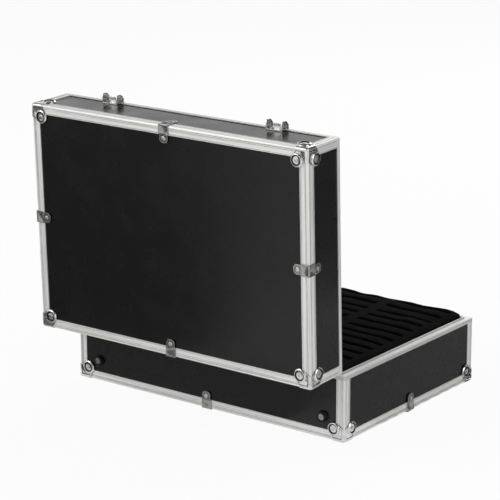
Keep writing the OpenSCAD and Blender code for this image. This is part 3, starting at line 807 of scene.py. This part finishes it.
# %% Its painted shade and dark reflections, then the whole guard
RING_IN, RING_OUT, EDGE_ZONE = 4.95 * MM, 6.75 * MM, 3.6 * MM


def mark_painted_shade(piece, test):
    """Gives the second finish, dark steel that paints shade and dark reflections, to the faces whose middle and
    normal pass the test.
    """
    for finish in (chrome, shade_steel):
        piece.data.materials.append(finish)
    for face in piece.data.polygons:
        face.material_index = 1 if test(face.center, face.normal) else 0


def in_ring(middle, normal):
    radius = math.hypot(middle.x - LOBE_IN, middle.y - LOBE_IN)
    return RING_IN < radius < RING_OUT and middle.z < -GUARD_T / 2


def round_flats(middle, normal):
    outside = min(middle) < -GUARD_T / 2 and min(normal) > -0.995
    return outside and sorted(middle)[1] > EDGE_ZONE


# The ring round each rivet gets painted shade, and the cap's rounded flats get a painted dark reflection.
mark_painted_shade(lobe, in_ring)
mark_painted_shade(cap, round_flats)
NEXT_AXIS = Matrix(((0, 0, 1, 0), (1, 0, 0, 0), (0, 1, 0, 0), (0, 0, 0, 1)))


def add_copy(source, matrix, name):
    """A turned or mirrored copy with its own mesh, its faces kept outward."""
    copy = bpy.data.objects.new(name, source.data.copy())
    scene.collection.objects.link(copy)
    copy.data.transform(matrix)
    if matrix.determinant() < 0:
        copy.data.flip_normals()
    return copy


def join(pieces, name):
    only(pieces[0])
    for piece in pieces:
        piece.select_set(True)
    bpy.ops.object.join()
    pieces[0].name = pieces[0].data.name = name
    return pieces[0]


lobes = [lobe, add_copy(lobe, NEXT_AXIS, "lobe_2"),
         add_copy(lobe, NEXT_AXIS @ NEXT_AXIS, "lobe_3")]
guard = join([cap] + lobes, "guard")
report("guard faces", guard)

# %% Eight guards on their corners
LOW_FACE = Matrix.Translation((0, 0, GROUND))
TOP_FACE = TO_OPEN @ Matrix.Translation((0, 0, GROUND + SHUT_H)) @ Matrix.Diagonal((1, 1, -1, 1))
TO_CORNER = Matrix.Translation((-CASE_X, -CASE_Y, 0))
for body, face in (("base", LOW_FACE), ("lid", TOP_FACE)):
    corners = [add_copy(guard, face @ Matrix.Diagonal((sx, sy, 1, 1)) @ TO_CORNER, "corner")
               for sx in (1, -1) for sy in (1, -1)]
    guards = join(corners, body + "_pressed_guards")
    finish_piece(guards, [chrome, shade_steel], body, "chrome", [body + "_corner_guards"], 50)
bpy.data.objects.remove(guard)

# %% [markdown]
# ## Pressed edge clips
#
# A clip is one strip bent over the profile. It starts as a block along one face of the case.
# Extruding its near end up the other face makes the bend, the far ends are drawn in and rounded
# to tabs, and insets press a ring round each rivet.

# %% One clip's outline
CLIP_T, CLIP_HALF, TAB_HALF, CLIP_IN = 0.9 * MM, 7.8 * MM, 6.7 * MM, 16.8 * MM
CLIP_END, FLANGE, TAPER = CLIP_IN + TAB_HALF, 11.4 * MM, 0.9 * MM
clip = block("edge_clip", (-CLIP_HALF, -CLIP_T, -CLIP_T), (CLIP_HALF, CLIP_END, 0))
cut_across(clip, 1, [0, FLANGE, FLANGE + TAPER])
push(clip, lambda c, n: n.z > 0.9 and c.y < 0, (0, 0, CLIP_END))
cut_across(clip, 2, [0, FLANGE, FLANGE + TAPER])
for vertex in clip.data.vertices:
    if max(vertex.co.y, vertex.co.z) > FLANGE + NEAR:
        vertex.co.x *= TAB_HALF / CLIP_HALF


def tab_corner(a, b):
    return all(max(p.y, p.z) > CLIP_END - NEAR for p in (a, b)) and abs(a.x - b.x) < NEAR


def fold(a, b):
    return all(p.y < -CLIP_T + NEAR and p.z < -CLIP_T + NEAR for p in (a, b))


print("tab corners", round_off(clip, tab_corner, 5.6, 6), "folds", round_off(clip, fold, 0.85, 4))

# %% Its pressed rings
BEYOND, RING_EDGE = 1 * MM, 1.3 * MM


def on_tab(middle, normal):
    return min(normal.y, normal.z) < -0.99 and max(middle.y, middle.z) > FLANGE + BEYOND


def on_flange(middle, normal):
    return min(normal.y, normal.z) < -0.99 and BEYOND < max(middle.y, middle.z) < FLANGE


def in_tab_ring(middle, normal):
    pressed = min(middle) < -CLIP_T / 2 and min(normal) > -0.99
    return (pressed and FLANGE + BEYOND < max(middle) < CLIP_END - RING_EDGE
            and abs(middle.x) < TAB_HALF - RING_EDGE)


press(clip, on_tab, ((1.5, 0), (0.4, -0.35), (0.7, 0), (0.4, 0.3)))
press(clip, on_flange, ((0.9, 0), (0.5, -0.25)))
# The pressed ring round each tab's rivet gets painted shade.
mark_painted_shade(clip, in_tab_ring)
soften(clip, 0.16, 35)
report("clip faces", clip)

# %% Four clips on each half
for body, face in (("base", LOW_FACE), ("lid", TOP_FACE)):
    clips = []
    for quarter in range(4):
        reach = CASE_X if quarter % 2 else CASE_Y
        turned = Matrix.Rotation(math.radians(90 * quarter), 4, "Z")
        to_edge = face @ turned @ Matrix.Translation((0, -reach, 0))
        clips.append(add_copy(clip, to_edge, "clip_copy"))
    clips = join(clips, body + "_pressed_clips")
    finish_piece(clips, [clip_steel, shade_steel], body, "chrome", [body + "_edge_clips"], 35)
bpy.data.objects.remove(clip)

# %% [markdown]
# ## Latch catches
#
# A catch is stamped from one plate with the lid shut. Extruding the two end strips makes the
# ears, and extruding a thin strip between them, then its lip, makes the hook for the bail's bar.
# The ears are drawn in towards their tips and each gets a sunk panel.

# %% One catch's plate, ears and hook
PLATE_HALF, CATCH_LOW, CATCH_HIGH = 12.5 * MM, 90.8 * MM, 105.1 * MM
EAR_IN, EAR_OUT, EAR_WAIST = 11.3 * MM, 11.5 * MM, 5.75 * MM
HOOK_HALF, HOOK_LOW, HOOK_HIGH, HOOK_OUT = 5.2 * MM, 97.6 * MM, 98.8 * MM, 7.6 * MM
PLATE_OUT, RIM_TOP, LIP_T, LIP_UP, SET_BACK = 0.6 * MM, 95.8 * MM, 1.2 * MM, 2.5 * MM, 1.2 * MM
TIP_RISE, TIP_FALL = 5 * MM, 1.2 * MM
WALL, LIP_IN = -CASE_Y, -CASE_Y - HOOK_OUT + LIP_T
catch = block("latch_catch", (-PLATE_HALF, WALL - PLATE_OUT, CATCH_LOW),
              (PLATE_HALF, WALL, CATCH_HIGH))
cut_across(catch, 0, [-EAR_IN, -HOOK_HALF, HOOK_HALF, EAR_IN])
cut_across(catch, 2, [RIM_TOP, HOOK_LOW, HOOK_HIGH])
push(catch, lambda c, n: n.y > 0.9 and c.z > RIM_TOP, (0, SET_BACK, 0))
push(catch, lambda c, n: n.y < -0.9 and abs(c.x) > EAR_IN, (0, PLATE_OUT - EAR_OUT, 0))
push(catch, lambda c, n: n.y < -0.9 and abs(c.x) < HOOK_HALF and HOOK_LOW < c.z < HOOK_HIGH,
     (0, PLATE_OUT - HOOK_OUT, 0))
cut_across(catch, 1, [WALL - EAR_WAIST, LIP_IN])
push(catch, lambda c, n: n.z > 0.9 and abs(c.x) < HOOK_HALF and c.y < LIP_IN, (0, 0, LIP_UP))
for vertex in catch.data.vertices:
    out = WALL - vertex.co.y
    if abs(vertex.co.x) > EAR_IN - NEAR and out > EAR_WAIST + NEAR:
        drawn = (out - EAR_WAIST) / (EAR_OUT - EAR_WAIST)
        share = (vertex.co.z - CATCH_LOW) / (CATCH_HIGH - CATCH_LOW)
        vertex.co.z += drawn * (TIP_RISE * (1 - share) - TIP_FALL * share)
report("plain catch faces", catch)

# %% Its rounded tips and sunk panels, then both catches
TIP_ZONE, LATCH_X = 1.3 * MM, 132 * MM


def ear_tip(a, b):
    along_x = abs(a.y - b.y) < NEAR and abs(a.z - b.z) < NEAR
    return along_x and all(WALL - p.y > EAR_OUT - NEAR for p in (a, b)) and (
        a.z < RIM_TOP + NEAR or a.z > CATCH_HIGH - TIP_ZONE)


def hook_edge(a, b):
    return all(WALL - p.y > HOOK_OUT - NEAR and p.z < HOOK_LOW + NEAR
               and abs(p.x) < HOOK_HALF + NEAR for p in (a, b))


def ear_side(middle, normal):
    return (abs(normal.x) > 0.9 and abs(middle.x) > EAR_IN - NEAR
            and WALL - middle.y > PLATE_OUT)


print("ear corners", round_off(catch, ear_tip, 2.6, 5))
round_off(catch, hook_edge, 0.9, 3)
press(catch, ear_side, ((1.5, 0), (0.5, -0.3)))
# The slopes of the ears' sunk panels get painted shade.
mark_painted_shade(catch, lambda c, n: abs(c.x) > EAR_IN - NEAR and 0.1 < abs(n.x) < 0.97)
soften(catch, 0.2, 40)
for side, x in (("left", -LATCH_X), ("right", LATCH_X)):
    stamped = add_copy(catch, TO_OPEN @ Matrix.Translation((x, 0, 0)), "stamped_catch_" + side)
    finish_piece(stamped, [chrome, shade_steel], "lid", "chrome", ["latch_catch_" + side], 35)
report("catch faces", catch)
bpy.data.objects.remove(catch)

# %% [markdown]
# ## The moulded handle
#
# The handle is one moulding, shaped like a U. A straight cylinder is cut into rings, each ring
# is laid along the U, flattened to an oval in the arms and left round in the grip, and a
# boolean drills the eye for the pins. Shallow waves on the underside give the fingers hold.

# %% A straight cylinder in rings
PIVOT_Y, PIVOT_Z = next(j for j in frame["joints"] if j["name"] == "handle_swing")["pos_m"][1:]
ARM_R, ARM_W, ARM_INSET, GRIP_R = 6.4 * MM, 8.8 * MM, 4.5 * MM, 8.9 * MM
DROP, BEND, RING_STEP, END_STEP, END_LESS = 36 * MM, 13 * MM, 2.2 * MM, 0.8 * MM, 1.2 * MM
ARM_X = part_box("handle_grip")[1].x - ARM_INSET
DOWN, TURN, LEVEL = DROP - BEND, BEND * math.pi / 2, ARM_X - BEND
HALF_LENGTH = ARM_R + DOWN + TURN + LEVEL
bpy.ops.object.select_all(action="DESELECT")
bpy.ops.mesh.primitive_cylinder_add(vertices=40, radius=1, depth=2, rotation=(0, math.pi / 2, 0))
grip = bpy.context.object
grip.name = grip.data.name = "moulded_handle"
bpy.ops.object.transform_apply(location=True, rotation=True, scale=True)
rings = [0.0]
while rings[-1] < HALF_LENGTH - END_LESS:
    near_end = rings[-1] > HALF_LENGTH - 2 * ARM_R
    rings.append(rings[-1] + (END_STEP if near_end else RING_STEP))
cut_across(grip, 0, [k * r / HALF_LENGTH for r in rings for k in ((1, -1) if r else (1,))])
print("rings", 2 * len(rings) - 1)

# %% The cylinder laid along the U
EASE, BOXY, TIP_LEAST, WAVE, WAVE_LONG = 6 * MM, 0.35, 0.02, 0.07, 21 * MM


def along_u(length):
    """Point and turn at this length from the middle of the grip, for the right half."""
    if length < LEVEL:
        return length, -DROP, 0
    if length < LEVEL + TURN:
        angle = (length - LEVEL) / BEND
        return LEVEL + BEND * math.sin(angle), -DROP + BEND * (1 - math.cos(angle)), angle
    return ARM_X, -DOWN + length - LEVEL - TURN, math.pi / 2


def radius_of(value, arm, flat):
    """A unit ring's place turned to real size, boxier and flatter towards the arm."""
    return math.copysign(abs(value) ** (1 - BOXY * flat), value) * (GRIP_R + (arm - GRIP_R) * flat)


for vertex in grip.data.vertices:
    length = abs(vertex.co.x) * HALF_LENGTH
    side = math.copysign(1, vertex.co.x)
    x, z, angle = along_u(length)
    flat = min(1, max(0, (length - LEVEL + EASE) / (TURN + EASE)))
    flat = flat * flat * (3 - 2 * flat)
    deep, wide = radius_of(vertex.co.y, ARM_R, flat), radius_of(vertex.co.z, ARM_W / 2, flat)
    past = length - (HALF_LENGTH - ARM_R)
    if past > 0:
        deep *= math.sqrt(max(TIP_LEAST, 1 - (past / ARM_R) ** 2))
    if wide < 0:
        wide *= 1 - WAVE * (1 - flat) * (1 - math.cos(2 * math.pi * length / WAVE_LONG))
    vertex.co = (side * (x - wide * math.sin(angle)), PIVOT_Y + deep,
                 PIVOT_Z + z + wide * math.cos(angle))
print("undrilled handle faces", len(grip.data.polygons))

# %% The eyes for the pins
PIN_R = 3.08 * MM
bpy.ops.object.select_all(action="DESELECT")
bpy.ops.mesh.primitive_cylinder_add(vertices=40, radius=PIN_R, depth=2 * CASE_X,
                                    location=(0, PIVOT_Y, PIVOT_Z), rotation=(0, math.pi / 2, 0))
drill = bpy.context.object
apply_modifier(grip, "BOOLEAN", object=drill, operation="DIFFERENCE")
bpy.data.objects.remove(drill)
finish_piece(grip, [handle_plastic], "handle", "handle_plastic", ["handle_grip"], 50)
report("handle faces", grip)

# %% [markdown]
# ## The slotted card foam
#
# The insert is one thick block of foam with slots for upright slabs. It could be built as
# separate strips, but the real one reads as one body, so a box is cut into a grid and the slot
# faces are pushed down. Rounded rims and a slow ripple keep it from looking machined.

# %% A block with its slots pushed down
foam_low, foam_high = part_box("card_foam")
COLUMNS, ROWS, PITCH, PIECES = 4, 12, 23.5 * MM, 9
SLOT_LONG, SLOT_WIDE, DIVIDER, SLOT_FLOOR = 87 * MM, 8 * MM, 16 * MM, 0.8 * MM
slot_xs = [(column - COLUMNS / 2) * (SLOT_LONG + DIVIDER) + DIVIDER / 2
           for column in range(COLUMNS)]
slot_ys = [(row - (ROWS - 1) / 2) * PITCH - SLOT_WIDE / 2 for row in range(ROWS)]


def in_slot(x, y):
    return (any(s < x < s + SLOT_LONG for s in slot_xs)
            and any(s < y < s + SLOT_WIDE for s in slot_ys))


foam = block("card_foam_insert", foam_low, foam_high)
x_cuts = [s + SLOT_LONG * k / PIECES for s in slot_xs for k in range(PIECES + 1)] + [0]
y_cuts = [s + SLOT_WIDE * k for s in slot_ys for k in (0, 1)]
y_cuts += [s + (SLOT_WIDE + PITCH) / 2 for s in slot_ys[:-1]]
cut_across(foam, 0, x_cuts)
cut_across(foam, 1, y_cuts)
top = foam_high.z
push(foam, lambda c, n: n.z > 0.9 and in_slot(c.x, c.y), (0, 0, -(top - foam_low.z - SLOT_FLOOR)))
print("slots", COLUMNS * ROWS, "faces", len(foam.data.polygons))

# %% Its rounded rims
SAME, BESIDE = 1e-5, 1e-4
half_w, half_d = foam_high.x, foam_high.y


def on_top(a, b):
    return abs(a.z - top) < SAME and abs(b.z - top) < SAME


def slot_rim(a, b):
    """An edge on the top face with a slot on one side and foam on the other."""
    x, y, _ = (a + b) / 2
    dx, dy = (BESIDE, 0) if abs(a.x - b.x) < SAME else (0, BESIDE)
    return on_top(a, b) and in_slot(x + dx, y + dy) != in_slot(x - dx, y - dy)


def outer_rim(a, b):
    return on_top(a, b) and any(
        all(abs(abs(p[axis]) - half) < SAME for p in (a, b))
        for axis, half in ((0, half_w), (1, half_d)))


print("slot rim edges", round_off(foam, slot_rim, 1.3, 3))
print("outer rim edges", round_off(foam, outer_rim, 1.8, 3))

# %% Its ripple and its crown
RIPPLE, RIPPLE_SIZE, RIPPLE_LEVEL, UPPER, CROWN_ZONE = 6 * MM, 0.045, 0.55, 3 * MM, 5 * MM
CROWN, SIDE_FALL, FRONT_FALL = 2.4 * MM, 2.4 * MM, 0.8 * MM
CROWN_RUN, SIDE_RUN, FRONT_RUN = 25 * MM, 6 * MM, 4 * MM
ripple = bpy.data.textures.new("foam_ripple", "CLOUDS")
ripple.noise_scale = RIPPLE_SIZE
upper = foam.vertex_groups.new(name="upper")
upper.add([v.index for v in foam.data.vertices if v.co.z > top - UPPER], 1, "REPLACE")
apply_modifier(foam, "DISPLACE", texture=ripple, strength=RIPPLE, mid_level=RIPPLE_LEVEL,
               direction="Z", vertex_group="upper")
foam.vertex_groups.clear()
for vertex in foam.data.vertices:
    if vertex.co.z > top - CROWN_ZONE:
        from_side, from_front = half_w - abs(vertex.co.x), half_d - abs(vertex.co.y)
        vertex.co.z += (CROWN * (1 - math.exp(-from_side / CROWN_RUN))
                        - SIDE_FALL * math.exp(-from_side / SIDE_RUN)
                        - FRONT_FALL * math.exp(-from_front / FRONT_RUN))
finish_piece(foam, [card_foam_finish], "base", "foam", ["card_foam"])
print("card foam faces", len(foam.data.polygons))

# %% [markdown]
# ## Pads and lining
#
# The sheet under the cards, the lid's pad and the lining strips are soft boards. Each is a box
# with rounded edges whose broad face swells a little in the middle, as foam does when it is
# glued at its edges.

# %% A soft board, and the sheet under the cards
GLUED, PAD_ROUND, SHEET_SWELL = 9 * MM, 0.8, 0.4 * MM


def soft_board(name, low, high, cuts, swell, normal):
    """A padded board: cut into a grid, rounded, and drawn in towards its edges."""
    low, high = Vector(low), Vector(high)
    board = block(name, low, high)
    size = high - low
    for axis, count in enumerate(cuts):
        cut_across(board, axis, [low[axis] + size[axis] * k / count for k in range(1, count)])
    middle = (low + high) / 2
    thick = min(range(3), key=lambda a: size[a])
    for vertex in board.data.vertices:
        share = 1.0
        for axis in range(3):
            if axis != thick:
                edge = size[axis] / 2 - abs(vertex.co[axis] - middle[axis])
                share = min(share, 1 - math.exp(-edge / GLUED))
        if (vertex.co[thick] - middle[thick]) * normal > 0:
            vertex.co[thick] -= normal * swell * (1 - share)
    soften(board, PAD_ROUND, 40)
    return board


low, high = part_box("floor_foam")
floor_pad = soft_board("floor_foam_sheet", low, high, (20, 14, 1), SHEET_SWELL, 1)
finish_piece(floor_pad, [pad_foam_finish], "base", "foam", ["floor_foam"])
report("sheet faces", floor_pad)

# %% The separate solids in a CAD node
MERGE_GAP = 0.005 * MM


def solid_boxes(name, turn=Matrix()):
    """Two corners of each solid in a CAD node, found on a welded copy after a turn."""
    shape = bmesh.new()
    shape.from_mesh(nodes[name].data)
    bmesh.ops.remove_doubles(shape, verts=shape.verts, dist=MERGE_GAP)
    shape.verts.index_update()
    seen, boxes = set(), []
    for first in shape.verts:
        stack, points = [first], []
        while stack:
            vertex = stack.pop()
            if vertex.index not in seen:
                seen.add(vertex.index)
                points.append(turn @ vertex.co)
                stack += [edge.other_vert(vertex) for edge in vertex.link_edges]
        if points:
            boxes.append([[pole(p[k] for p in points) for k in range(3)] for pole in (min, max)])
    shape.free()
    return boxes


print("lining strips", [len(solid_boxes(name)) for name in ("base_lining", "lid_lining")])

# %% Base lining strips
STRIP_SWELL = 0.7 * MM


def lining_strips(name, boxes, rows):
    """One joined piece with a soft strip for each box, swollen towards the case's middle."""
    strips = []
    for low, high in boxes:
        wide_x = high[0] - low[0] > high[1] - low[1]
        inward = -1 if (low[1] + high[1] if wide_x else low[0] + high[0]) > 0 else 1
        cuts = (24, 1, rows) if wide_x else (1, 18, rows)
        strips.append(soft_board("strip", low, high, cuts, STRIP_SWELL, inward))
    return join(strips, name)


base_lining = lining_strips("base_lining_felt", solid_boxes("base_lining"), 6)
finish_piece(base_lining, [lining_finish], "base", "lining", ["base_lining"])
report("lining faces", base_lining)

# %% [markdown]
# ## The lid's pad and lining
#
# The CAD boards are measured with the lid turned shut, rebuilt there as soft boards, and turned
# back to the open place.

# %% Lid pad and lining
PAD_SWELL = 1.2 * MM
(low, high), = solid_boxes("lid_pad", TO_SHUT)
lid_pad = soft_board("lid_pad_cushion", low, high, (28, 20, 1), PAD_SWELL, -1)
lid_pad.data.transform(TO_OPEN)
finish_piece(lid_pad, [pad_foam_finish], "lid", "foam", ["lid_pad"])
lid_lining = lining_strips("lid_lining_felt", solid_boxes("lid_lining", TO_SHUT), 5)
lid_lining.data.transform(TO_OPEN)
finish_piece(lid_lining, [lining_finish], "lid", "lining", ["lid_lining"])
report("pad faces", lid_pad)

# %% The visual box
low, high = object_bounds()
print("visual box", [round(v, 4) for v in (*low, *high)])
